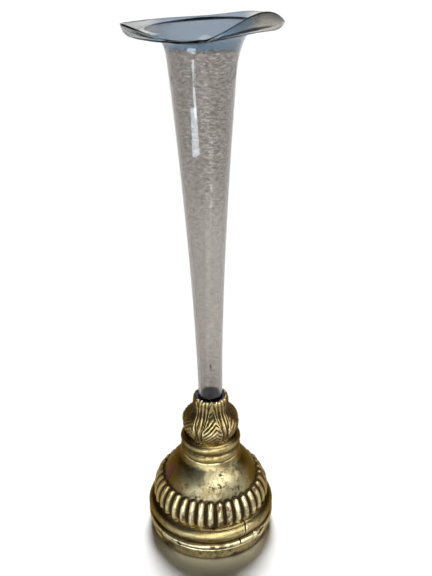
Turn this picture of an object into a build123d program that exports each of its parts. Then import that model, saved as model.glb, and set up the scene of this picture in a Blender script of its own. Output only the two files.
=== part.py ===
from build123d import *
import math
import os

# A tall blown-glass flute with a wide wavy lip, standing loose in the socket of a
# turned and carved giltwood base. Millimetres, +Z up, origin on the base's axis in
# the plane that it stands on. The front of the object faces -Y.

# Driving dimensions
BASE_DIAMETER = 122.4
PLINTH_TOP = 34.0
DOME_TOP = 88.0
NECK_TOP = 107.0
SOCKET_TOP = 150.0
MOUTH_LEVEL = 477.3
MOUTH_WIDTH = 122.0
MOUTH_DEPTH = 76.0
GADROON_COUNT = 36
LEAF_COUNT = 6

# Wood joints: a dowel, a tenon and the thin glue gap round them
FELT_THICKNESS = 1.2
FELT_INSET = 5.6
GLUE_GAP = 0.05
DOWEL_RADIUS = 7.0
DOWEL_FOOT = 12.0
DOWEL_HEAD = 100.0
DOWEL_CHAMFER = 0.8
TENON_RADIUS = 14.0

# Socket, its felt sleeve and the loose pad under the glass
SOCKET_FLOOR = 105.0
SLEEVE_INSIDE = 11.6
SLEEVE_THICKNESS = 1.0
SLEEVE_TOP_DROP = 2.0
PAD_RADIUS = 11.25
PAD_THICKNESS = 2.0

# Leaf cup: notches between the leaf tips
NOTCH_RADIUS = 3.4
NOTCH_RISE = 0.6
POINTS_PER_LEAF = 6

# Glass: a straight foot, a stem that widens by a power law, and a flared mouth
FOOT_RADIUS = 11.1
WALL = 2.4
RIM_WALL = 2.2
RIM_CROWN = 0.9
FLOOR_THICKNESS = 10.0
STEM_START = 154.0
STEM_END = 444.0
STEM_GAIN = 15.0
STEM_POWER = 1.61
STEM_HEIGHTS = (129.0, STEM_START, 179.0, 209.0, 249.0, 289.0, 329.0, 369.0, 404.0, 429.0, 448.0)
RING_POINTS = 24

# The hand-blown glass wanders to the left
LEAN = -5.0

# Waves of the rim round the mouth: count, height and the angle of the first crest
WAVE_MEAN = 3.5
WAVES = ((1, 3.9, -5), (2, 2.5, -23), (3, 3.7, -46), (4, 2.2, 42), (5, 0.5, 31))

# The trumpet's outer line: share of the mouth's width, height, share of the waves,
# and the rise to the right and to the back
FLARE = (
    (0.53, -7.0, 0.0, 0.3, 0.3),
    (0.63, -2.1, 0.03, 2.0, 1.5),
    (0.82, -2.1, 0.24, 1.8, 1.0),
    (1.0, 0.4, 1.0, 0.0, 0.0),
)
ROUND_SHARE = 0.45

# Values worked out from those above
BASE_RADIUS = BASE_DIAMETER / 2
PAD_TOP = SOCKET_FLOOR + PAD_THICKNESS
GLASS_FLOOR = PAD_TOP + FLOOR_THICKNESS


def turned(outline):
    """A solid turned on the lathe from a closed outline in the XZ plane."""
    return revolve(make_face(outline), Axis.Z)


def cuts(*points):
    """Straight cuts through (radius, height) points."""
    return Polyline(*[(radius, 0, height) for radius, height in points])


def moulding(*points):
    """A round moulding through three (radius, height) points."""
    return ThreePointArc(*[(radius, 0, height) for radius, height in points])


def disc(radius, bottom, top):
    """A plain round block on the axis."""
    return Pos(0, 0, bottom) * Cylinder(radius, top - bottom, align=(Align.CENTER, Align.CENTER, Align.MIN))


def base_felt():
    """The felt under the plinth."""
    return disc(BASE_RADIUS - FELT_INSET, 0, FELT_THICKNESS)


def plinth():
    """One turned block: a band that leans out, a torus, a groove and a broad ovolo."""
    band_foot = (BASE_RADIUS - 3.0, FELT_THICKNESS)
    quirk = (BASE_RADIUS - 1.8, 13.2)
    torus_top = (BASE_RADIUS - 2.7, 18.6)
    groove = BASE_RADIUS - 3.9
    ovolo_foot = (BASE_RADIUS - 2.1, 22.2)
    ovolo_top = (BASE_RADIUS - 5.2, 33.0)
    outline = [
        cuts((0, FELT_THICKNESS), band_foot, (BASE_RADIUS - 2.4, 2.2), (BASE_RADIUS - 1.0, 12.2), quirk),
        moulding(quirk, (BASE_RADIUS, 15.9), torus_top),
        cuts(torus_top, (groove, 19.0), (groove, 20.4), (BASE_RADIUS - 2.5, 21.4), ovolo_foot),
        moulding(ovolo_foot, (BASE_RADIUS - 0.5, 27.9), ovolo_top),
        cuts(ovolo_top, (BASE_RADIUS - 6.6, PLINTH_TOP), (0, PLINTH_TOP), (0, FELT_THICKNESS)),
    ]
    return turned(outline) - disc(DOWEL_RADIUS + GLUE_GAP, DOWEL_FOOT, PLINTH_TOP)


def gadroon():
    """One carved lobe, narrow at its tip and full at its foot, running down the shoulder."""
    stations = (
        (46.2, 58.8, 2.6),
        (48.6, 54.6, 3.6),
        (51.2, 47.0, 3.9),
        (51.6, 40.0, 4.0),
        (50.6, PLINTH_TOP, 4.0),
    )
    sections = []
    for index, (radius, height, size) in enumerate(stations):
        above = stations[max(index - 1, 0)]
        below = stations[min(index + 1, len(stations) - 1)]
        along = (below[0] - above[0], 0, below[1] - above[1])
        if below is stations[index]:
            along = (0, 0, -1)
        sections.append(Plane(origin=(radius, 0, height), x_dir=(0, 1, 0), z_dir=along) * Circle(size))
    return loft(sections)


def gadrooned_dome():
    """A plain shoulder above a ring of gadroons."""
    lobes_foot = (52.4, PLINTH_TOP)
    lobes_crown = (45.4, 57.0)
    shoulder_foot = (44.6, 58.4)
    neck_foot = (29.4, 81.5)
    neck = (27.6, DOME_TOP)
    outline = [
        cuts((0, PLINTH_TOP), lobes_foot),
        moulding(lobes_foot, (52.6, 46.0), lobes_crown),
        cuts(lobes_crown, shoulder_foot),
        moulding(shoulder_foot, (38.8, 71.6), neck_foot),
        moulding(neck_foot, (27.9, 84.4), neck),
        cuts(neck, (0, DOME_TOP), (0, PLINTH_TOP)),
    ]
    lobe = gadroon()
    lobes = [Rot(0, 0, 360 / GADROON_COUNT * index) * lobe for index in range(GADROON_COUNT)]
    return turned(outline) + lobes - disc(DOWEL_RADIUS + GLUE_GAP, PLINTH_TOP, DOME_TOP)


def neck_ring():
    """A collar of two beads, threaded on the leaf socket's tenon."""
    bore = TENON_RADIUS + GLUE_GAP
    bead_foot = (27.2, DOME_TOP)
    bead_top = (27.4, 96.4)
    upper_foot = (26.8, 98.8)
    upper_top = (25.8, 106.0)
    outline = [
        cuts((bore, DOME_TOP), bead_foot),
        moulding(bead_foot, (29.4, 92.2), bead_top),
        cuts(bead_top, (26.6, 97.4), upper_foot),
        moulding(upper_foot, (28.4, 102.6), upper_top),
        cuts(upper_top, (25.0, NECK_TOP), (bore, NECK_TOP), (bore, DOME_TOP)),
    ]
    return turned(outline)


def leaf_line(radius, valley, height):
    """A closed line round the cup, with one round lobe for each leaf."""
    points = []
    count = LEAF_COUNT * POINTS_PER_LEAF
    for index in range(count):
        angle = 2 * math.pi * index / count
        lobe = math.cos(LEAF_COUNT * (angle + math.pi / 2))
        reach = radius - valley * (1 - lobe) / 2
        points.append((reach * math.cos(angle), reach * math.sin(angle), height))
    return make_face(Spline(*points, periodic=True))


def leaf_socket():
    """A cup of leaves that bulge, draw in at a waist and end in upright tips, on a tenon."""
    lines = (
        (24.0, 0.8, NECK_TOP),
        (26.6, 2.2, 113.0),
        (27.0, 2.8, 118.5),
        (24.6, 2.6, 125.5),
        (19.6, 1.6, 132.5),
        (18.0, 1.0, 137.0),
        (17.4, 0.8, 143.0),
        (16.0, 0.6, SOCKET_TOP),
    )
    cup = loft([leaf_line(*line) for line in lines])
    across = Plane(origin=(0, 0, SOCKET_TOP + NOTCH_RISE), x_dir=(0, 1, 0), z_dir=(1, 0, 0))
    notch = extrude(across * Circle(NOTCH_RADIUS), amount=BASE_RADIUS)
    notches = [Rot(0, 0, 360 / LEAF_COUNT * (index + 0.5) - 90) * notch for index in range(LEAF_COUNT)]
    bore = disc(SLEEVE_INSIDE + SLEEVE_THICKNESS + GLUE_GAP, SOCKET_FLOOR, SOCKET_TOP)
    dowel_hole = disc(DOWEL_RADIUS + GLUE_GAP, DOME_TOP, DOWEL_HEAD)
    return cup - notches + disc(TENON_RADIUS, DOME_TOP, NECK_TOP) - bore - dowel_hole


def socket_sleeve():
    """The dark felt that lines the socket."""
    top = SOCKET_TOP - SLEEVE_TOP_DROP
    return disc(SLEEVE_INSIDE + SLEEVE_THICKNESS, SOCKET_FLOOR, top) - disc(SLEEVE_INSIDE, SOCKET_FLOOR, top)


def seat_pad():
    """The loose felt disc that the glass stands on."""
    return disc(PAD_RADIUS, SOCKET_FLOOR, PAD_TOP)


def centre_dowel():
    """The dowel that strings the wooden pieces together."""
    pin = disc(DOWEL_RADIUS, DOWEL_FOOT, DOWEL_HEAD)
    return chamfer(pin.edges().filter_by(GeomType.CIRCLE), DOWEL_CHAMFER)


def wave(angle):
    """Height of the rim above the mouth's level."""
    waves = [size * math.cos(count * (angle - math.radians(crest))) for count, size, crest in WAVES]
    return WAVE_MEAN + sum(waves)


def stem_point(angle, height, wall):
    """A point of the stem, inside it by the wall."""
    rise = max(height - STEM_START, 0) / (STEM_END - STEM_START)
    radius = FOOT_RADIUS + STEM_GAIN * rise ** STEM_POWER - wall
    return Vector(LEAN * rise + radius * math.cos(angle), radius * math.sin(angle), height)


def mouth_point(angle, share, height, wave_share, rise_right, rise_back):
    """A point of the flared mouth, which turns from round to oval on its way out."""
    way_out = max(share - ROUND_SHARE, 0) / (1 - ROUND_SHARE)
    half_width = MOUTH_WIDTH / 2 * share
    half_depth = half_width * (1 - way_out * (1 - MOUTH_DEPTH / MOUTH_WIDTH))
    level = MOUTH_LEVEL + height + wave_share * wave(angle)
    level += rise_right * math.cos(angle) + rise_back * math.sin(angle)
    return Vector(LEAN + half_width * math.cos(angle), half_depth * math.sin(angle), level)


def glass_line(angle):
    """The glass cut at one angle: up the outside, over the rim and down to the inner floor."""
    outside = [stem_point(angle, PAD_TOP, 0)]
    outside += [stem_point(angle, height, 0) for height in STEM_HEIGHTS]
    flare_start = len(outside)
    outside += [mouth_point(angle, *station) for station in FLARE]
    radial = Vector(math.cos(angle), math.sin(angle), 0)
    inside = []
    for index in range(flare_start, len(outside)):
        after = outside[min(index + 1, len(outside) - 1)]
        along = (after - outside[index - 1]).normalized()
        inward = Vector(0, 0, 1) * along.dot(radial) - radial * along.Z
        inside.append(outside[index] + inward * RIM_WALL)
    crown = (outside[-1] + inside[-1]) * 0.5 + along * RIM_CROWN
    inside.reverse()
    inside += [stem_point(angle, height, WALL) for height in reversed(STEM_HEIGHTS)]
    inside.append(stem_point(angle, GLASS_FLOOR, WALL))
    return outside, crown, inside


def ring(points):
    """A smooth closed ring through points, in a right-hand and a left-hand half."""
    whole = Edge.make_spline(list(points), periodic=True)
    return Wire([whole.trim(0, 0.5), whole.trim(0.5, 1)])


def glass_flute():
    """The skin outside, the round rim and the skin inside, closed by the foot and the inner floor."""
    lines = [glass_line(2 * math.pi * index / RING_POINTS) for index in range(RING_POINTS)]
    outside, crown, inside = zip(*lines)
    outer_rings = [ring(points) for points in zip(*outside)]
    inner_rings = [ring(points) for points in zip(*inside)]
    outer_skin = Shell.make_loft(outer_rings)
    rim = Shell.make_loft([outer_rings[-1], ring(crown), inner_rings[0]])
    inner_skin = Shell.make_loft(inner_rings)
    ends = [Face(outer_rings[0]), Face(inner_rings[-1])]
    return Solid(Shell([*outer_skin.faces(), *rim.faces(), *inner_skin.faces(), *ends]))


PIECES = (
    base_felt,
    plinth,
    gadrooned_dome,
    neck_ring,
    leaf_socket,
    socket_sleeve,
    seat_pad,
    centre_dowel,
    glass_flute,
)

os.makedirs("parts", exist_ok=True)
for piece in PIECES:
    export_step(piece(), f"parts/{piece.__name__}.step")
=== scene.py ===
import math

import bpy
import numpy as np
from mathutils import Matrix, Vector


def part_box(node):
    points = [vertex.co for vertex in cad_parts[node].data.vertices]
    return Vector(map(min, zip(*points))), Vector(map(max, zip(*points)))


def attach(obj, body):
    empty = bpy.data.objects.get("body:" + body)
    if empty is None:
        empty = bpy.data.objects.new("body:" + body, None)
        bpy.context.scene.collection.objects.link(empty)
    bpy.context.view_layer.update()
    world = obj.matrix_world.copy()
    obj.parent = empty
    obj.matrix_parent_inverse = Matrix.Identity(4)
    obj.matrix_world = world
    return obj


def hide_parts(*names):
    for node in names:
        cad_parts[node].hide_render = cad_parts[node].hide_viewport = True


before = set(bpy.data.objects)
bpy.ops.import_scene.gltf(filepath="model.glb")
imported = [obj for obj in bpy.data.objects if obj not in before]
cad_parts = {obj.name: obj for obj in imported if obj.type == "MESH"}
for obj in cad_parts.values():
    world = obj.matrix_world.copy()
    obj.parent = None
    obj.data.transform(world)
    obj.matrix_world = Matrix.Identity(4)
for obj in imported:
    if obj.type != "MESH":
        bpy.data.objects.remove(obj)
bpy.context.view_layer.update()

# Lengths are in millimetres unless a comment says metres, and become metres in the meshes.
MM = 0.001
SEED = 7

# Heights and radii of the pieces, read from the frame
PLINTH_FOOT, PLINTH_TOP = (corner.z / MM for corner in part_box("plinth"))
DOME_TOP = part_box("gadrooned_dome")[1].z / MM
NECK_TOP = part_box("neck_ring")[1].z / MM
SOCKET_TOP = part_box("leaf_socket")[1].z / MM
SOCKET_FLOOR, PAD_TOP = (corner.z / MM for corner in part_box("seat_pad"))
SLEEVE_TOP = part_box("socket_sleeve")[1].z / MM
BASE_RADIUS = (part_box("plinth")[1].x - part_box("plinth")[0].x) / 2 / MM
PAD_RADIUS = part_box("seat_pad")[1].x / MM
FELT_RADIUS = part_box("base_felt")[1].x / MM
SLEEVE_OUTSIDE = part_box("socket_sleeve")[1].x / MM

# Fineness of the carved meshes, along the turned line and round it
STEP = 0.5
COLUMNS = 720

# Carving
GADROONS = 36
GADROON_RISE = 3.4
GADROON_TIP = 59.0
GADROON_END = 3.4
LEAVES = 6
LEAF_TURN = 4.0
# Half width in degrees and swell of a leaf at heights on the cup
LEAF_HEIGHTS = (107.0, 112.0, 118.0, 122.0, 127.0, 133.0, 140.0, 148.5)
LEAF_HALVES = (17.0, 21.0, 23.5, 23.0, 19.5, 15.5, 11.0, 0.5)
LEAF_SWELLS = (0.8, 1.8, 2.5, 2.7, 2.2, 1.1, 0.9, 0.8)

# Radii inside the wood
TENON_RADIUS = 14.0
SLEEVE_INSIDE = 11.6
BORE_RADIUS = 12.65

# Crack in the plinth: azimuth in degrees where it starts, height there, and degrees of slant per mm
CRACK_PLACE = -63
CRACK_LEVEL = 15
CRACK_SLANT = 0.47
# Chips in the plinth: azimuth in degrees, height, half width, half height and depth of each
CHIPS = (
    (-120, 14.0, 2.8, 2.4, 1.5),
    (-36, 13.0, 6.0, 5.5, 2.2),
    (-46, 17.0, 3.0, 2.0, 1.2),
    (-147, 8.5, 8.5, 6.5, 2.0),
    (-96, 20.5, 2.0, 1.5, 0.9),
    (35, 8.0, 4.0, 3.0, 1.3),
    (140, 16.0, 3.4, 2.2, 1.2),
)

# Wear on the gilding: azimuth in degrees, height, half width and half height of each mark
BOLE_MARKS = (
    (-161, 67, 7, 10),
    (-87, 37.5, 3.4, 4.5),
    (-79, 39.5, 2.8, 4.5),
    (95, 70, 6, 7),
    (60, 44, 4, 6),
)
FLECK_MARKS = (
    (-89, 71, 7, 6),
    (-55, 64, 9, 6),
    (-71, 79, 5, 4),
    (-108, 61, 10, 4),
    (-75, 70, 8, 6),
    (100, 66, 12, 8),
)
# The direction, in plan, from which the gold is painted brightest: painted front light, partly rubbing
LIT_AND_RUBBED_FROM = (0.12, -0.99)
# Heights in metres where the painted light on the foot ends, and where the painted pale highlight on the
# shoulder begins and ends
LIT_FOOT_END = (0.015, 0.021)
SHOULDER_HIGHLIGHT_START, SHOULDER_HIGHLIGHT_END = (0.056, 0.061), (0.08, 0.087)
# The pieces that the key lamp shines on
GILT_PIECES = ("plinth_block", "gadrooned_shoulder", "beaded_neck", "leaf_cup")

# Glass
GLASS_COLUMNS = 192
GLASS_STEP = 1.6
FOOT_RADIUS = 11.1
FOOT_ROUND = 0.9
WALL = 2.4
RIM_WALL = 2.2
RIM_CROWN = 0.9
FLOOR_THICKNESS = 10.0
STEM_START = 154.0
STEM_END = 444.0
STEM_GAIN = 15.0
STEM_POWER = 1.61
STEM_HEIGHTS = (129.0, STEM_START, 179.0, 209.0, 249.0, 289.0, 329.0, 369.0, 404.0, 429.0, 448.0)
# How far the stem wanders sideways on its way up
LEAN = -5.0
# Dark specks on the stem: azimuth in degrees, height, half width and half height
STEM_MARKS = ((-84, 186, 3.0, 9),)
MOUTH_LEVEL = 477.3
MOUTH_WIDTH = 122.0
MOUTH_DEPTH = 76.0
ROUND_SHARE = 0.45
WAVE_MEAN = 3.5
# Waves of the rim: how many go round the mouth, their height, and the azimuth of a crest in degrees
WAVES = ((1, 3.9, -5), (2, 2.5, -23), (3, 3.7, -46), (4, 2.2, 42), (5, 0.5, 31))
# Rings of the flare: share of the mouth's width, height, share of the wave, and rise to the right,
# to the back, and at front and back alike
FLARE = (
    (0.515, -8.2, 0.0, 0.0, 0.0, 0.0),
    (0.565, -4.0, 0.0, 1.4, 1.4, 0.0),
    (0.64, -1.9, 0.05, 2.3, 1.6, 0.0),
    (0.78, -1.9, 0.25, 1.7, 1.0, 0.3),
    (0.93, -2.8, 0.26, 1.7, 0.8, 1.7),
    (1.0, 0.4, 1.0, 0.0, 0.0, 0.0),
)

# Heights in metres on the glass: where the painted blue of the lip begins, the stretch of the stem
# that is painted paler as painted light, and the stretch where the skin of the glass is wrinkled
BLUE_FROM = 0.4612
PALE_START, PALE_END = (0.13, 0.22), (0.29, 0.4)
WRINKLE_START, WRINKLE_END = (0.437, 0.447), (0.452, 0.462)

# Felts
FELT_COLUMNS = 240

# Stage and camera, in metres and degrees
ROOM = 16.0
WALL_HEIGHT = 4.0
WALL_SEEN_BY = ("Is Camera Ray", "Is Glossy Ray", "Is Transmission Ray")
SKY = 0.04
DAYLIGHT = 4.25
DAYLIGHT_SPREAD = 21
CAMERA_PLACE = (0.0052, -0.636, 0.595)
CAMERA_TILT = 27.8

draws = np.random.default_rng(SEED)


# Shader sums as plain expressions


class Value:
    """A shader socket that takes part in sums."""

    def __init__(self, finish, socket):
        self.finish = finish
        self.socket = socket

    def sum(self, operation, *terms):
        return self.finish.add("ShaderNodeMath", {"operation": operation}, dict(enumerate(terms)))

    def __add__(self, other):
        return self.sum("ADD", self, other)

    def __radd__(self, other):
        return self.sum("ADD", other, self)

    def __sub__(self, other):
        return self.sum("SUBTRACT", self, other)

    def __rsub__(self, other):
        return self.sum("SUBTRACT", other, self)

    def __mul__(self, other):
        return self.sum("MULTIPLY", self, other)

    def __rmul__(self, other):
        return self.sum("MULTIPLY", other, self)

    def __pow__(self, other):
        return self.sum("POWER", self, other)

    def limited(self):
        return self.finish.add("ShaderNodeClamp", {}, {"Value": self})


class Finish:
    """A material that is built up from nodes."""

    def __init__(self, name):
        self.material = bpy.data.materials.new(name)
        self.material.use_nodes = True
        self.tree = self.material.node_tree
        self.surface = self.tree.nodes["Principled BSDF"]

    def add(self, kind, settings, inputs, output=0):
        """A node of a kind: its settings first, then its inputs. Gives one of its outputs."""
        node = self.tree.nodes.new(kind)
        for name, setting in settings.items():
            setattr(node, name, setting)
        for key, entry in inputs.items():
            self.feed(node.inputs[key], entry)
        return Value(self, node.outputs[output])

    def feed(self, socket, entry):
        if isinstance(entry, Value):
            self.tree.links.new(entry.socket, socket)
        elif isinstance(entry, tuple) and len(entry) == 3 and socket.type == "RGBA":
            socket.default_value = (*entry, 1.0)
        else:
            socket.default_value = entry

    def place(self, stretch=(1.0, 1.0, 1.0)):
        """Where on the object a point is, stretched along the axes."""
        where = self.add("ShaderNodeTexCoord", {}, {}, "Object")
        return self.add("ShaderNodeVectorMath", {"operation": "MULTIPLY"}, {0: where, 1: stretch})

    def noise(self, size, detail=4.0, rough=0.55, stretch=(1.0, 1.0, 1.0)):
        """Cloudy values from 0 to 1, with patches of about this size in metres."""
        inputs = {"Vector": self.place(stretch), "Scale": 1.0 / size, "Detail": detail, "Roughness": rough}
        return self.add("ShaderNodeTexNoise", {"noise_dimensions": "3D"}, inputs, "Fac")

    def band(self, value, low, high):
        """0 below low, 1 above high, smooth between."""
        inputs = {"Value": value, "From Min": low, "From Max": high}
        return self.add("ShaderNodeMapRange", {"interpolation_type": "SMOOTHSTEP"}, inputs)

    def painted(self, name):
        """A value kept on the mesh by the carver."""
        return self.add("ShaderNodeAttribute", {"attribute_name": name}, {}, "Fac")

    def along(self, axis):
        """How far along an axis of the object a point is, in metres."""
        where = self.add("ShaderNodeTexCoord", {}, {}, "Object")
        return self.add("ShaderNodeSeparateXYZ", {}, {0: where}, axis)

    def blend(self, below, above, share):
        """One colour over another."""
        return self.add("ShaderNodeMix", {"data_type": "RGBA"}, {0: share, 6: below, 7: above}, 2)

    def bump(self, height, depth, strength=1.0):
        inputs = {"Height": height, "Distance": depth, "Strength": strength}
        return self.add("ShaderNodeBump", {}, inputs, "Normal")

    def finish(self, **sockets):
        """Sets the surface's sockets, named with underscores for spaces."""
        for name, entry in sockets.items():
            self.feed(self.surface.inputs[name.replace("_", " ")], entry)
        return self.material


def gilding():
    """Old gilding over red bole: painted light and rubbing in front, brown sides, dirt and painted shade in
    hollows.
    """
    f = Finish("old_gilding")
    marks = ("hollow", "crest", "bole", "flecks", "crack")
    hollow, crest, bole, flecked, crack = (f.painted(name) for name in marks)
    patches = f.noise(0.03, 3.0)
    grain = f.noise(0.004, 5.0, 0.62)
    fine = f.noise(0.0011, 3.0)
    x, y = f.along("X"), f.along("Y")
    # Painted light: bright in front and dark brown at the sides, partly wear from rubbing
    front = (LIT_AND_RUBBED_FROM[0] * x + LIT_AND_RUBBED_FROM[1] * y) * (x * x + y * y) ** -0.5
    lit_and_rubbed = f.band(front + 0.5 * (patches - 0.5), 0.36, 1.0)
    gold = f.blend((0.1, 0.062, 0.016), (0.36, 0.285, 0.125), lit_and_rubbed)
    highlight_gold = f.blend((0.42, 0.325, 0.14), (0.92, 0.83, 0.54), lit_and_rubbed)
    # Painted highlight: crests lighter in the highlight gold
    gold = f.blend(gold, highlight_gold, f.band(crest + 0.3 * grain, 0.5, 1.05) * 0.85)
    height = f.along("Z")
    # Painted light: the lowest band painted bright, as if lit
    foot = 1 - f.band(height, *LIT_FOOT_END)
    gold = f.blend(gold, highlight_gold, 0.95 * foot)
    # Painted highlight: a pale patch on the front of the shoulder
    shoulder = f.band(height, *SHOULDER_HIGHLIGHT_START) * (1 - f.band(height, *SHOULDER_HIGHLIGHT_END))
    gold = f.blend(gold, (0.37, 0.335, 0.2), shoulder * lit_and_rubbed * lit_and_rubbed)
    toned = f.band(f.noise(0.016, 6.0, 0.66), 0.5, 0.64)
    gold = f.blend(gold, (0.12, 0.072, 0.02), toned * 0.55)
    mottled = f.band(grain + 0.35 * (fine - 0.5), 0.5, 0.68)
    gold = f.blend(gold, (0.1, 0.065, 0.022), mottled * 0.45)
    worn = f.band(f.noise(0.02, 5.0, 0.6) + 0.12 * crest + 0.42 * bole, 0.64, 0.74)
    bole_spots = worn * f.band(grain + 0.2 * bole, 0.4, 0.55)
    gold = f.blend(gold, (0.1, 0.02, 0.012), bole_spots * 0.85)
    # Dark in the hollows: dirt, and painted shade
    dirt_and_shade = f.band(hollow + 0.45 * (grain - 0.5), 0.1, 0.55)
    gold = f.blend(gold, (0.026, 0.016, 0.006), dirt_and_shade * 0.96)
    dotted = (f.band(f.noise(0.014, 2.0), 0.5, 0.62) + flecked).limited()
    specks = f.band(f.noise(0.0021, 4.0, 0.75) + 0.11 * flecked, 0.6, 0.66) * dotted
    gold = f.blend(gold, (0.018, 0.014, 0.009), specks * 0.9)
    gold = f.blend(gold, (0.008, 0.005, 0.003), crack)
    bare = (dirt_and_shade + bole_spots * 0.7 + specks + crack).limited()
    rough = 0.2 + 0.14 * patches + 0.1 * grain + 0.3 * bare
    relief = f.bump(0.6 * fine + grain, 0.0005, 0.7)
    return f.finish(
        Base_Color=gold,
        Metallic=0.95 - 0.8 * bare,
        Roughness=rough,
        Specular_Tint=(0.6, 0.47, 0.3),
        Normal=relief,
    )


def blown_glass():
    """Old glass, smoky tan through its thickness, with painted grey-blue in the lip and painted shade along
    the rim.
    """
    f = Finish("blown_glass")
    rim_shade, lobe_light, specks = (f.painted(name) for name in ("rim_shade", "lobe_light", "specks"))
    x, y, z = (f.along(axis) for axis in "XYZ")
    weave = f.noise(0.0017, 3.0, 0.75, (0.4, 0.4, 1.4))
    cords = f.noise(0.006, 3.0, 0.55, (1.0, 1.0, 0.12))
    clear = f.blend((0.42, 0.41, 0.4), (1.0, 0.99, 0.98), f.band(weave + 0.07 * (cords - 0.5), 0.34, 0.66))
    # Painted light: a stretch of the lower stem painted paler
    painted_light_stretch = f.band(z, *PALE_START) * (1 - f.band(z, *PALE_END))
    clear = f.blend(clear, (0.98, 0.98, 0.96), 0.62 * painted_light_stretch)
    # Painted shade: the left side of the stem painted darker
    clear = f.blend(clear, (0.62, 0.63, 0.61), 0.22 * (1 - f.band(x, -0.0048, -0.0025)))
    # Painted reflection: the grey-blue of the lip stands for the surroundings seen through it, darker at the
    # back as painted shade
    blue = f.blend((0.53, 0.71, 0.88), (0.4, 0.5, 0.615), f.band(y, -0.01, 0.01))
    blue = f.blend(blue, (0.42, 0.51, 0.6), 0.25 * f.band(f.noise(0.012, 4.0), 0.35, 0.65))
    ragged = z + 0.18 * y + 0.009 * (f.noise(0.004, 4.0, 0.75) - 0.5) - BLUE_FROM
    tint = f.blend(clear, blue, f.band(ragged, 0.0, 0.0012))
    # A painted dark line along the ragged edge of the painted blue
    painted_edge_line = f.band(ragged, -0.0014, -0.0002) * (1 - f.band(ragged, 0.0004, 0.0016))
    tint = f.blend(tint, (0.2, 0.2, 0.22), painted_edge_line * f.band(f.noise(0.0025, 3.0, 0.7), 0.42, 0.6))
    # Painted light: the lobes of the lip painted pale, the right one more than the left
    tint = f.blend(tint, (0.98, 0.98, 0.94), lobe_light)
    # Painted shade along the rim, broader where the rim is seen edge-on
    tint = f.blend(tint, (0.04, 0.055, 0.07), rim_shade)
    tint = f.blend(tint, (0.03, 0.02, 0.012), f.band(specks * f.noise(0.0016, 3.0, 0.7), 0.42, 0.52))
    wrinkled = f.band(z, *WRINKLE_START) * (1 - f.band(z, *WRINKLE_END))
    waves = f.noise(0.03, 2.0, 0.4, (1.0, 1.0, 0.3)) + 3.0 * wrinkled * f.noise(0.006, 2.0, 0.5)
    ripple = f.bump(waves, 0.0006, 0.25)
    smoke = f.add("ShaderNodeVolumeAbsorption", {}, {"Color": (0.7, 0.672, 0.642), "Density": 470.0})
    f.feed(f.tree.nodes["Material Output"].inputs["Volume"], smoke)
    return f.finish(Base_Color=tint, Roughness=0.015, IOR=1.47, Transmission_Weight=1.0, Normal=ripple)


def felt(name, dark, light):
    """Pressed wool: a matted nap with paler fibres."""
    f = Finish(name)
    mat = f.noise(0.0011, 6.0, 0.75)
    clumps = f.noise(0.006, 3.0)
    colour = f.blend(dark, light, f.band(mat + 0.5 * clumps, 0.55, 1.05))
    return f.finish(
        Base_Color=colour,
        Roughness=0.95,
        Sheen_Weight=0.35,
        Normal=f.bump(mat, 0.0006, 0.8),
    )


def bare_wood():
    """Turned beech with the grain along the dowel."""
    f = Finish("bare_wood")
    grain = f.noise(0.0022, 5.0, 0.6, (1.0, 1.0, 0.06))
    flecks = f.band(f.noise(0.0012, 2.0, 0.5, (1.0, 1.0, 0.2)), 0.62, 0.7)
    colour = f.blend((0.38, 0.245, 0.13), (0.55, 0.385, 0.225), f.band(grain, 0.35, 0.7))
    colour = f.blend(colour, (0.24, 0.14, 0.07), flecks * 0.6)
    return f.finish(Base_Color=colour, Roughness=0.55 + 0.2 * grain, Normal=f.bump(grain, 0.0003, 0.5))


# Turned lines and carved skins


def straight(*points):
    """Points of straight cuts, close together."""
    line = []
    for (r0, z0), (r1, z1) in zip(points[:-1], points[1:]):
        count = max(2, round(math.hypot(r1 - r0, z1 - z0) / (STEP / 2)))
        line.append(np.linspace((r0, z0), (r1, z1), count, endpoint=False))
    return np.concatenate(line)


def rounded(start, middle, end):
    """Points of a round moulding through three points, close together."""
    (ax, ay), (bx, by), (cx, cy) = start, middle, end
    d = 2 * (ax * (by - cy) + bx * (cy - ay) + cx * (ay - by))
    a2, b2, c2 = ax * ax + ay * ay, bx * bx + by * by, cx * cx + cy * cy
    centre = np.array((
        (a2 * (by - cy) + b2 * (cy - ay) + c2 * (ay - by)) / d,
        (a2 * (cx - bx) + b2 * (ax - cx) + c2 * (bx - ax)) / d,
    ))
    radius = math.hypot(ax - centre[0], ay - centre[1])
    first, via, last = (math.atan2(p[1] - centre[1], p[0] - centre[0]) for p in (start, middle, end))
    turn = (last - first) % math.tau
    if (via - first) % math.tau > turn:
        turn -= math.tau
    count = max(4, round(abs(turn) * radius / (STEP / 2)))
    angles = first + turn * np.linspace(0, 1, count, endpoint=False)
    return centre + radius * np.stack((np.cos(angles), np.sin(angles)), -1)


def turned_line(*stretches, end, soften=2):
    """One even line through the stretches, with its corners softened as gesso softens them."""
    line = np.concatenate([*stretches, np.array([end])])
    for _ in range(soften):
        line[1:-1] = (line[:-2] + 2 * line[1:-1] + line[2:]) / 4
    along = np.concatenate(([0], np.cumsum(np.hypot(*np.diff(line, axis=0).T))))
    even = np.linspace(0, along[-1], max(8, round(along[-1] / STEP)))
    return np.stack([np.interp(even, along, line[:, axis]) for axis in range(2)], -1)


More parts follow.
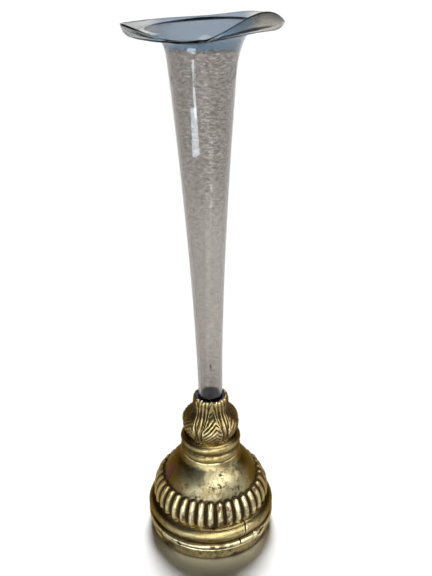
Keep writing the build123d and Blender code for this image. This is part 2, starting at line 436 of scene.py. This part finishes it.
def cloud(rows, columns, cells, rng):
    """Smooth random values from -1 to 1 over a skin, closed round its columns."""
    down, round_ = cells
    grid = rng.uniform(-1, 1, (down + 1, round_))
    v = np.linspace(0, down - 1e-6, rows)
    u = np.linspace(0, round_, columns, endpoint=False)
    vi, ui = v.astype(int), u.astype(int)
    fv, fu = (v - vi)[:, None], (u - ui)[None, :]
    fv, fu = fv * fv * (3 - 2 * fv), fu * fu * (3 - 2 * fu)
    un = (ui + 1) % round_
    top = grid[vi][:, ui] * (1 - fu) + grid[vi][:, un] * fu
    low = grid[vi + 1][:, ui] * (1 - fu) + grid[vi + 1][:, un] * fu
    return top * (1 - fv) + low * fv


def smoothed(values, width):
    """A running mean over a skin, closed round its columns."""
    for axis in (0, 1):
        total = np.zeros_like(values)
        for shift in range(-width, width + 1):
            if axis:
                total += np.roll(values, shift, 1)
            else:
                index = np.clip(np.arange(len(values)) + shift, 0, len(values) - 1)
                total += values[index]
        values = total / (2 * width + 1)
    return values


def step(value, low, high):
    """0 below low, 1 above high, smooth between."""
    share = np.clip((value - low) / (high - low), 0, 1)
    return share * share * (3 - 2 * share)


def line_normals(line):
    """The outward direction at each point of a turned line."""
    along = np.gradient(line, axis=0)
    along /= np.linalg.norm(along, axis=1, keepdims=True) + 1e-9
    return np.stack((along[:, 1], -along[:, 0]), -1)


def skin(name, points, body, finish, node, ends=True, closed=False, kept=None):
    """A closed mesh over rows of points that run round the axis, riding on a body in place of a node."""
    rows, columns = points.shape[:2]
    places = (points.reshape(-1, 3) * MM).tolist()
    index = np.arange(rows * columns).reshape(rows, columns)
    if closed:
        index = np.concatenate((index, index[:1]))
    beside = np.roll(index, -1, 1)
    faces = np.stack((index[:-1], beside[:-1], beside[1:], index[1:]), -1).reshape(-1, 4).tolist()
    if ends:
        for row, flip in ((0, True), (rows - 1, False)):
            centre = len(places)
            places.append((points[row].mean(0) * MM).tolist())
            for a, b in zip(index[row].tolist(), beside[row].tolist()):
                faces.append((b, a, centre) if flip else (a, b, centre))
    mesh = bpy.data.meshes.new(name)
    mesh.from_pydata(places, [], faces)
    for key, values in (kept or {}).items():
        filled = np.zeros(len(places), np.float32)
        filled[: rows * columns] = values.reshape(-1)
        mesh.attributes.new(key, "FLOAT", "POINT").data.foreach_set("value", filled)
    mesh.shade_smooth()
    mesh.materials.append(finish)
    piece = bpy.data.objects.new(name, mesh)
    bpy.context.scene.collection.objects.link(piece)
    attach(piece, body)
    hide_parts(node)
    return piece


def turned_by(angle, place):
    """Angle from a place given in degrees, in radians either way."""
    return np.abs((angle - np.radians(place) + math.pi) % math.tau - math.pi)


def marked(marks, angles, line):
    """Soft round marks on a turned line, 1 in their middle."""
    total = np.zeros((len(line), len(angles)))
    for place, level, wide, tall in marks:
        across = turned_by(angles[None, :], place) * line[:, :1] / wide
        up = (line[:, 1:] - level) / tall
        total = np.maximum(total, np.clip(1 - across**2 - up**2, 0, 1))
    return total


def off_crack(angle, height):
    """Distance from the shrinkage crack at the front right of the plinth."""
    place = CRACK_PLACE + CRACK_SLANT * (height - CRACK_LEVEL) + 0.7 * np.sin(height * 0.55)
    beyond = np.maximum(np.maximum(13 - height, height - PLINTH_TOP), 0)
    return turned_by(angle, place) * BASE_RADIUS + 4 * beyond


def carved(
    name,
    line,
    node,
    carve,
    finish,
    columns=COLUMNS,
    ends=True,
    closed=False,
    wear=0.12,
    look=4,
    crisp=1.0,
    grime_and_shade=0.0,
    less_dark_from=math.inf,
):
    """A turned line carved all round.

    Hollows and crests are told from the mean of the skin near each point. They and the marks of wear
    are kept for the gilding. Grime and painted shade darken the piece, most in its hollows, less so above the
    height given.
    """
    angles = np.linspace(0, math.tau, columns, endpoint=False)
    rows = len(line)
    normal = line_normals(line)
    depth, lift = carve(angles[None, :], line[:, :1], line[:, 1:])
    cells = (max(2, rows // 16), columns // 24)
    depth = depth + wear * cloud(rows, columns, cells, draws) * (line[:, :1] > 1)
    radius = line[:, :1] + normal[:, :1] * depth
    height = line[:, 1:] + normal[:, 1:] * depth + lift
    proud = np.zeros((rows, columns))
    for width, share in ((look, 0.6), (look * 3, 0.4)):
        out = (radius - smoothed(radius, width)) * normal[:, :1]
        up = (height - smoothed(height, width)) * normal[:, 1:]
        proud += share * (out + up)
    # Grime and painted shade: darker in hollows, less so above the given height
    soiled_and_shaded = np.where(line[:, 1:] < less_dark_from, 1.0, 0.3)
    kept = {
        "hollow": np.clip((grime_and_shade - proud * 1.6 * crisp) * soiled_and_shaded, 0, 1),
        "crest": np.clip(proud * 1.8 * crisp, 0, 1),
        "bole": marked(BOLE_MARKS, angles, line),
        "flecks": marked(FLECK_MARKS, angles, line),
        "crack": 1 - step(off_crack(angles, line[:, 1:]), 0.3, 0.9),
    }
    points = np.stack((radius * np.cos(angles), radius * np.sin(angles), height), -1)
    skin(name, points, "base", finish, node, ends, closed, kept)


# The wooden pieces


def plain(angle, radius, height):
    """No carving."""
    return np.zeros_like(angle + radius), np.zeros_like(angle + radius)


def crack_and_chips(angle, radius, height):
    """A shrinkage crack at the front right, chips along the torus and lost corners."""
    outside = radius > 45
    depth = -1.6 * (1 - step(off_crack(angle, height), 0.1, 0.7)) * outside
    for place, level, wide, tall, deep in CHIPS:
        across = turned_by(angle, place) * BASE_RADIUS / wide
        up = (height - level) / tall
        depth = depth - deep * np.clip(1.25 * (1 - across**2 - up**2), 0, 1) * outside
    return depth, np.zeros_like(depth)


def plinth(finish):
    """Foot band, torus, groove and ovolo in one block."""
    edge = BASE_RADIUS
    foot, quirk, torus_top = (edge - 3.1, PLINTH_FOOT), (edge - 1.8, 13.2), (edge - 2.7, 18.6)
    groove, ovolo_foot, ovolo_top = edge - 3.9, (edge - 2.1, 22.2), (edge - 5.2, 33.0)
    line = turned_line(
        straight((2.0, PLINTH_FOOT), foot, (edge - 2.4, 2.2), (edge - 1.0, 12.2), quirk),
        rounded(quirk, (edge - 0.1, 15.9), torus_top),
        straight(torus_top, (groove, 19.0), (groove, 20.4), (edge - 2.5, 21.4), ovolo_foot),
        rounded(ovolo_foot, (edge - 0.6, 27.9), ovolo_top),
        straight(ovolo_top, (edge - 6.6, PLINTH_TOP), (2.0, PLINTH_TOP)),
        end=(2.0, PLINTH_TOP),
    )
    carved("plinth_block", line, "plinth", crack_and_chips, finish, wear=0.22, crisp=0.6)


def gadroon_ring(angle, radius, height):
    """Finger-like lobes with blunt round tips, parted by narrow valleys."""
    place = angle / math.tau * GADROONS
    lobe = np.round(place)
    # A fixed share for each lobe, so that no two are quite alike
    vary = np.sin(lobe * 12.9898) * 43758.5453
    vary = vary - np.floor(vary)
    across = (place - lobe + 0.06 * (vary - 0.5)) * 2
    tip = GADROON_TIP + 0.8 * (vary - 0.5)
    end = np.clip((height - tip + GADROON_END) / GADROON_END, 0, 1)
    half = 0.95 * np.sqrt(np.clip(1 - end**2, 0, 1))
    body = np.clip(1 - (across / np.maximum(half, 1e-3)) ** 2, 0, 1) ** 1.5
    foot = step(height, PLINTH_TOP - 0.5, PLINTH_TOP + 3.0)
    rise = GADROON_RISE * (0.35 + 0.65 * foot) * (1 - 0.3 * end**2) * (0.92 + 0.16 * vary)
    rise = rise * body * (height < tip) * (radius > 40)
    return rise, np.zeros_like(rise)


def gadrooned_dome(finish):
    """A ring of gadroons under a plain shoulder."""
    lobes_foot, lobes_crown = (51.4, PLINTH_TOP), (45.4, 57.6)
    shoulder, neck_foot, neck = (44.9, 58.6), (29.4, 81.5), (26.6, DOME_TOP)
    line = turned_line(
        straight((2.0, PLINTH_TOP), lobes_foot),
        rounded(lobes_foot, (51.6, 46.0), lobes_crown),
        straight(lobes_crown, shoulder),
        rounded(shoulder, (38.8, 71.6), neck_foot),
        rounded(neck_foot, (27.6, 84.6), neck),
        straight(neck, (2.0, DOME_TOP)),
        end=(2.0, DOME_TOP),
    )
    carved(
        "gadrooned_shoulder",
        line,
        "gadrooned_dome",
        gadroon_ring,
        finish,
        columns=GADROONS * 24,
        wear=0.16,
        # Grime and painted shade on the gadroons, less so near their tips
        grime_and_shade=0.2,
        less_dark_from=GADROON_TIP - 2.0,
    )


def neck_ring(finish):
    """Two beads round the tenon."""
    bore = TENON_RADIUS + 0.05
    bead_foot, bead_top = (26.4, DOME_TOP), (26.6, 96.0)
    upper_foot, upper_top = (26.8, 98.8), (25.8, 106.0)
    line = turned_line(
        straight((bore, DOME_TOP), bead_foot),
        rounded(bead_foot, (28.3, 92.0), bead_top),
        straight(bead_top, (26.4, 97.4), upper_foot),
        rounded(upper_foot, (28.3, 102.6), upper_top),
        straight(upper_top, (25.0, NECK_TOP), (bore, NECK_TOP), (bore, DOME_TOP)),
        end=(bore, DOME_TOP + 0.2),
    )
    carved(
        "beaded_neck",
        line,
        "neck_ring",
        plain,
        finish,
        columns=480,
        ends=False,
        closed=True,
        wear=0.16,
        crisp=0.4,
    )


def ridge(distance, width):
    """A rounded ridge, 1 on its line."""
    return np.exp(-((distance / width) ** 2))


def leaf_carving(angle, radius, height):
    """Tall pointed leaves that bulge below, hatched and with raised edges, and fans of ribs between them."""
    shape = np.broadcast(angle, height).shape
    place = (angle + math.pi / 2 - math.radians(LEAF_TURN)) / math.tau * LEAVES
    leaf = np.round(place)
    vary = np.sin(leaf * 7.13 + 0.4)
    side = (place - leaf) * 360 / LEAVES + 0.8 * vary
    per_degree = np.maximum(radius, BORE_RADIUS) * math.pi / 180
    half = np.interp(height, LEAF_HEIGHTS, LEAF_HALVES) + 0.8 * vary
    inward = (half - np.abs(side)) * per_degree
    share = np.clip(np.abs(side) / np.maximum(half, 0.5), 0, 1)
    swell = np.interp(height, LEAF_HEIGHTS, LEAF_SWELLS)
    swell = swell * step(inward, -0.4, 1.2) * np.sqrt(1 - 0.7 * share**2)
    edge = np.where(side > 0, 0.8, 0.5) * ridge(inward - 0.6, 0.75) * (half > 1)
    slant = height - 0.95 * per_degree * np.where(side < 9, side, 18 - side)
    cuts = np.abs(np.sin(slant * math.pi / 4.2)) ** 0.7
    veins = 0.95 * (cuts - 0.75) * step(inward, 1.1, 1.8) * step(height, NECK_TOP + 2, NECK_TOP + 5)
    veins = veins * (1 - 0.7 * step(height, 126, 134))
    climb = np.clip((height - NECK_TOP) / (SOCKET_TOP - NECK_TOP), 0, 1)
    from_gap = np.abs(np.abs(side) - 30)
    ribs = np.abs(np.cos(from_gap * math.pi / (9 + 5 * climb))) ** 1.3
    fan = (1.25 + 0.3 * vary) * ribs * step(-inward, 0.0, 0.9)
    hand = 0.12 * cloud(shape[0], shape[1], (24, 90), draws)
    outside = (radius > BORE_RADIUS + 0.8) * step(height, NECK_TOP, NECK_TOP + 1.2)
    depth = (np.maximum(swell + edge + veins, fan) + hand - 1.2) * outside
    scallop = np.abs(np.sin(side * math.pi / 20)) ** 0.8
    lift = -1.1 * scallop * step(height, SOCKET_TOP - 4, SOCKET_TOP) * (radius > BORE_RADIUS - 0.3)
    return depth, lift + np.zeros(shape)


def leaf_socket(finish):
    """The carved cup, with the socket bored in it and the tenon below."""
    swelling = ((22.6, 107.0), (23.5, 110.0), (24.4, 113.0), (25.4, 117.0))
    cup = (*swelling, (25.8, 120.5), (25.1, 124.0), (23.4, 127.5), (20.6, 131.0))
    collar = ((18.2, 134.0), (17.0, 137.0), (16.6, 141.0), (16.3, 145.0), (15.7, 148.0), (14.8, 149.4))
    bore_edge, bore_floor = (BORE_RADIUS, 149.0), (BORE_RADIUS, SOCKET_FLOOR)
    line = turned_line(
        straight((2.0, DOME_TOP), (TENON_RADIUS, DOME_TOP), (TENON_RADIUS, NECK_TOP), *cup, *collar),
        straight(collar[-1], (13.6, 149.9), bore_edge, bore_floor, (2.0, SOCKET_FLOOR)),
        end=(2.0, SOCKET_FLOOR),
        soften=6,
    )
    # The cup is darkened with grime and painted shade in its hollows
    carved("leaf_cup", line, "leaf_socket", leaf_carving, finish, wear=0.08, look=3, crisp=0.8, grime_and_shade=0.25)


# The felts and the dowel


def felt_ring(name, line, body, finish, node, closed):
    """A felt piece turned from a line, with an uneven nap."""
    angles = np.linspace(0, math.tau, FELT_COLUMNS, endpoint=False)
    normal = line_normals(line)
    cells = (max(2, len(line) // 2), FELT_COLUMNS // 2)
    nap = -0.06 + 0.06 * cloud(len(line), FELT_COLUMNS, cells, draws)
    radius = line[:, :1] + normal[:, :1] * nap
    height = line[:, 1:] + normal[:, 1:] * nap
    points = np.stack((radius * np.cos(angles), radius * np.sin(angles), height + 0 * angles), -1)
    return skin(name, points, body, finish, node, ends=not closed, closed=closed)


def felts():
    """The sleeve in the socket, the pad under the glass and the baize under the plinth."""
    # Dark navy felt for the sleeve and pad, its darkness partly painted shade inside the socket
    blue = felt("blue_felt", (0.007, 0.016, 0.075), (0.025, 0.065, 0.29))
    green = felt("green_baize", (0.012, 0.028, 0.016), (0.05, 0.085, 0.05))
    sleeve = turned_line(
        straight((SLEEVE_INSIDE, SOCKET_FLOOR), (SLEEVE_OUTSIDE, SOCKET_FLOOR), (SLEEVE_OUTSIDE, SLEEVE_TOP)),
        straight((SLEEVE_OUTSIDE, SLEEVE_TOP), (SLEEVE_INSIDE, SLEEVE_TOP), (SLEEVE_INSIDE, SOCKET_FLOOR)),
        end=(SLEEVE_INSIDE, SOCKET_FLOOR + 0.2),
    )
    lining = felt_ring("felt_sleeve", sleeve, "base", blue, "socket_sleeve", True)
    pad = turned_line(
        straight((1.0, SOCKET_FLOOR), (PAD_RADIUS, SOCKET_FLOOR), (PAD_RADIUS, PAD_TOP), (1.0, PAD_TOP)),
        end=(1.0, PAD_TOP),
    )
    felt_ring("felt_pad", pad, "pad", blue, "seat_pad", False)
    under = turned_line(
        straight((1.0, 0.0), (FELT_RADIUS, 0.0), (FELT_RADIUS, PLINTH_FOOT), (1.0, PLINTH_FOOT)),
        end=(1.0, PLINTH_FOOT),
    )
    baize = felt_ring("baize_under_plinth", under, "base", green, "base_felt", False)


# The glass


def smooth_through(stations, spacing):
    """A natural cubic through stations (count, columns, 3), at about the given spacing."""
    lengths = np.linalg.norm(np.diff(stations, axis=0), axis=2).mean(1)
    knots = np.concatenate(([0], np.cumsum(lengths)))
    count = len(knots)
    gaps = np.diff(knots)
    system = np.eye(count)
    right = np.zeros_like(stations)
    for i in range(1, count - 1):
        system[i, i - 1 : i + 2] = gaps[i - 1], 2 * (gaps[i - 1] + gaps[i]), gaps[i]
        slope_before = (stations[i] - stations[i - 1]) / gaps[i - 1]
        slope_after = (stations[i + 1] - stations[i]) / gaps[i]
        right[i] = 6 * (slope_after - slope_before)
    bend = np.linalg.solve(system, right.reshape(count, -1)).reshape(stations.shape)
    places = np.linspace(0, knots[-1], max(4, round(knots[-1] / spacing)))
    rows = []
    for place in places:
        i = min(int(np.searchsorted(knots, place, "right")) - 1, count - 2)
        gap, left, after = gaps[i], knots[i + 1] - place, place - knots[i]
        rows.append(
            (bend[i] * left**3 + bend[i + 1] * after**3) / (6 * gap)
            + (stations[i] / gap - bend[i] * gap / 6) * left
            + (stations[i + 1] / gap - bend[i + 1] * gap / 6) * after
        )
    return np.array(rows)


def wave(angle):
    """How high the wavy rim stands round the mouth."""
    total = WAVE_MEAN + 0 * angle
    for count, size, crest in WAVES:
        total = total + size * np.cos(count * (angle - math.radians(crest)))
    return total


def stem_ring(angle, height, wall):
    """A ring of the stem at a height, set in from the outside by the wall."""
    rise = max(height - STEM_START, 0) / (STEM_END - STEM_START)
    radius = FOOT_RADIUS + STEM_GAIN * rise**STEM_POWER - wall
    return np.stack((LEAN * rise + radius * np.cos(angle), radius * np.sin(angle), height + 0 * angle), -1)


def mouth_ring(angle, share, height, wave_share, rise_right, rise_back, rise_middle):
    """A ring of the flare, round at the throat and oval at the rim."""
    way_out = max(share - ROUND_SHARE, 0) / (1 - ROUND_SHARE)
    half_width = MOUTH_WIDTH / 2 * share
    half_depth = half_width * (1 - way_out * (1 - MOUTH_DEPTH / MOUTH_WIDTH))
    level = MOUTH_LEVEL + height + wave_share * wave(angle)
    level = level + rise_right * np.cos(angle) + rise_back * np.sin(angle)
    level = level + rise_middle * np.sin(angle) ** 2
    return np.stack((LEAN + half_width * np.cos(angle), half_depth * np.sin(angle), level), -1)


def glass_flute():
    """Foot, stem and flared lip, outside and inside in one closed skin."""
    angle = np.linspace(0, math.tau, GLASS_COLUMNS, endpoint=False)
    radial = np.stack((np.cos(angle), np.sin(angle), 0 * angle), -1)
    upright = np.array((0.0, 0.0, 1.0))
    stem = [stem_ring(angle, height, 0) for height in (PAD_TOP + FOOT_ROUND, *STEM_HEIGHTS)]
    flare = [mouth_ring(angle, *station) for station in FLARE]
    outside = np.array(stem + flare)
    inner_flare = []
    for i in range(len(stem), len(outside)):
        after = outside[min(i + 1, len(outside) - 1)]
        along = after - outside[i - 1]
        along = along / np.linalg.norm(along, axis=1, keepdims=True)
        inward = upright * (along * radial).sum(1, keepdims=True) - radial * along[:, 2:]
        inner_flare.append(outside[i] + inward * RIM_WALL)
    turns = np.linspace(0, math.pi, 11)[1:-1]
    middle = (outside[-1] + inner_flare[-1]) / 2
    half = (outside[-1] - inner_flare[-1]) / 2
    crown = np.array([middle + half * math.cos(t) + along * RIM_CROWN * math.sin(t) for t in turns])
    floor = PAD_TOP + FLOOR_THICKNESS
    bowl = FOOT_RADIUS - WALL
    inner_stem = [stem_ring(angle, height, WALL) for height in reversed(STEM_HEIGHTS)]
    inside = np.array(inner_flare[::-1] + inner_stem + [stem_ring(angle, floor + bowl, WALL)])
    foot = [
        stem_ring(angle, PAD_TOP + FOOT_ROUND * (1 - math.sin(t)), FOOT_ROUND * (1 - math.cos(t)))
        for t in np.linspace(math.pi / 2, 0, 6)[:-1]
    ]
    bottom = [
        stem_ring(angle, floor + bowl * (1 - math.sin(t)), WALL + bowl * (1 - math.cos(t)))
        for t in np.linspace(0, math.pi / 2, 12)[1:-1]
    ]
    outer_rows = smooth_through(outside, GLASS_STEP)
    inner_rows = smooth_through(inside, GLASS_STEP)
    points = np.concatenate((foot, outer_rows, crown, inner_rows, bottom))
    crown_row = len(foot) + len(outer_rows) + len(crown) / 2
    rows_off = np.maximum(np.abs(np.arange(len(points)) - crown_row) - len(crown) / 2, 0)
    from_rim = rows_off[:, None] * GLASS_STEP
    # Where the painted rim shade is broad and strong, at the two places seen edge-on
    rim_shade_spread = ridge(turned_by(angle, -28), 0.6) + 0.6 * ridge(turned_by(angle, -165), 0.35)
    rim_shade = ridge(from_rim, 0.5 + 2.7 * rim_shade_spread) * np.clip(0.25 + rim_shade_spread, 0, 1)
    # Painted light on the lobes of the lip, full on the right and less on the left
    lobe_light = step(np.abs(points[:, :, 0] - LEAN), 30, 44) * step(points[:, :, 2], STEM_END, MOUTH_LEVEL - 4)
    lobe_light = np.where(points[:, :, 0] > LEAN, lobe_light, 0.6 * lobe_light)
    levels = points[:, 0, 2]
    specks = marked(STEM_MARKS, angle, np.stack((FOOT_RADIUS + 0 * levels, levels), -1))
    kept = {"rim_shade": rim_shade, "lobe_light": lobe_light, "specks": specks}
    skin("glass_trumpet", points, "glass", blown_glass(), "glass_flute", kept=kept)


# The stage, the lights and the camera


def stage():
    """A wide pale floor that keeps the shadow, and a low white wall far round it."""
    paper = Finish("pale_floor")
    pale = paper.blend((0.93, 0.93, 0.93), (0.95, 0.95, 0.95), paper.noise(0.4, 2.0))
    paper.finish(Base_Color=pale, Roughness=0.9, Specular_IOR_Level=0.0)
    white = Finish("white_wall")
    seen = sum(white.add("ShaderNodeLightPath", {}, {}, name) for name in WALL_SEEN_BY).limited()
    black = (0.0, 0.0, 0.0)
    glow = white.blend(black, (1.0, 1.0, 1.0), seen)
    white.finish(Base_Color=black, Specular_IOR_Level=0.0, Emission_Color=glow, Emission_Strength=1.0)
    corners = ((-1, -1), (1, -1), (1, 1), (-1, 1))
    ground = [(ROOM * x, ROOM * y, 0.0) for x, y in corners]
    top = [(ROOM * x, ROOM * y, WALL_HEIGHT) for x, y in corners]
    sides = [(i, (i + 1) % 4, (i + 1) % 4 + 4, i + 4) for i in range(4)]
    floor = ("floor", ground, [(0, 1, 2, 3)], paper)
    wall = ("wall", ground + top, sides, white)
    for name, places, faces, finish in (floor, wall):
        mesh = bpy.data.meshes.new(name)
        mesh.from_pydata(places, [], faces)
        mesh.materials.append(finish.material)
        piece = bpy.data.objects.new(name, mesh)
        bpy.context.scene.collection.objects.link(piece)
        piece.visible_shadow = finish is paper


def sky():
    """A faint even sky. The daylight, the panels and the floor give the rest."""
    world = bpy.data.worlds.new("studio")
    world.use_nodes = True
    background = world.node_tree.nodes["Background"]
    background.inputs["Color"].default_value = (0.96, 0.98, 1.0, 1.0)
    background.inputs["Strength"].default_value = SKY
    bpy.context.scene.world = world


def shine(name, light, place, aim):
    """Puts a light in its place, aimed at a point."""
    lamp = bpy.data.objects.new(name, light)
    lamp.location = place
    lamp.rotation_euler = (Vector(aim) - Vector(place)).to_track_quat("-Z", "Y").to_euler()
    bpy.context.scene.collection.objects.link(lamp)
    return lamp


def panel(name, place, aim, size, power, colour):
    """A soft panel that shows in the metal and the glass but leaves the floor to the daylight."""
    light = bpy.data.lights.new(name, "AREA")
    light.shape = "RECTANGLE"
    light.size, light.size_y = size
    light.energy = power
    light.color = colour
    lamp = shine(name, light, place, aim)
    lamp.visible_camera = lamp.visible_diffuse = False
    return lamp


def lights():
    """Panels that show in the gold and the glass, and daylight from above and behind."""
    warm, cool = (1.0, 0.985, 0.96), (0.74, 0.88, 1.0)
    # The key is kept off the glass, where it would leave a pale patch inside the mouth.
    key = panel("key", (0.62, -0.92, 1.05), (0, 0, 0.08), (1.8, 0.9), 25.0, warm)
    key.light_linking.receiver_collection = bpy.data.collections.new("gilt_pieces")
    for name in GILT_PIECES:
        key.light_linking.receiver_collection.objects.link(bpy.data.objects[name])
    panel("window", (-0.1, -1.5, 0.42), (0, 0, 0.1), (1.0, 0.8), 9.0, warm)
    panel("strip", (-0.46, -0.8, 0.1), (0, 0, 0.36), (0.15, 0.2), 1.0, cool)
    panel("card", (-0.0745, -0.109, 0.352), (-0.013, -0.03, 0.465), (0.06, 0.045), 0.075, cool)
    daylight = bpy.data.lights.new("daylight", "SUN")
    daylight.energy = DAYLIGHT
    daylight.angle = math.radians(DAYLIGHT_SPREAD)
    sun = shine("daylight", daylight, (0.0, 1.3, 1.6), (0, 0, 0))
    sun.visible_glossy = sun.visible_transmission = False


def camera():
    """Looks down on the object from the front."""
    eye = bpy.data.cameras.new("camera")
    eye.lens = 52.0
    eye.sensor_width = 36.0
    eye_object = bpy.data.objects.new("camera", eye)
    eye_object.location = CAMERA_PLACE
    eye_object.rotation_euler = (math.radians(90 - CAMERA_TILT), 0, 0)
    bpy.context.scene.collection.objects.link(eye_object)
    bpy.context.scene.camera = eye_object


bpy.context.scene.view_settings.view_transform = "Standard"
gilt = gilding()
plinth(gilt)
gadrooned_dome(gilt)
neck_ring(gilt)
leaf_socket(gilt)
felts()
glass_flute()
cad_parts["centre_dowel"].data.materials.clear()
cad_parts["centre_dowel"].data.materials.append(bare_wood())
stage()
sky()
lights()
camera()
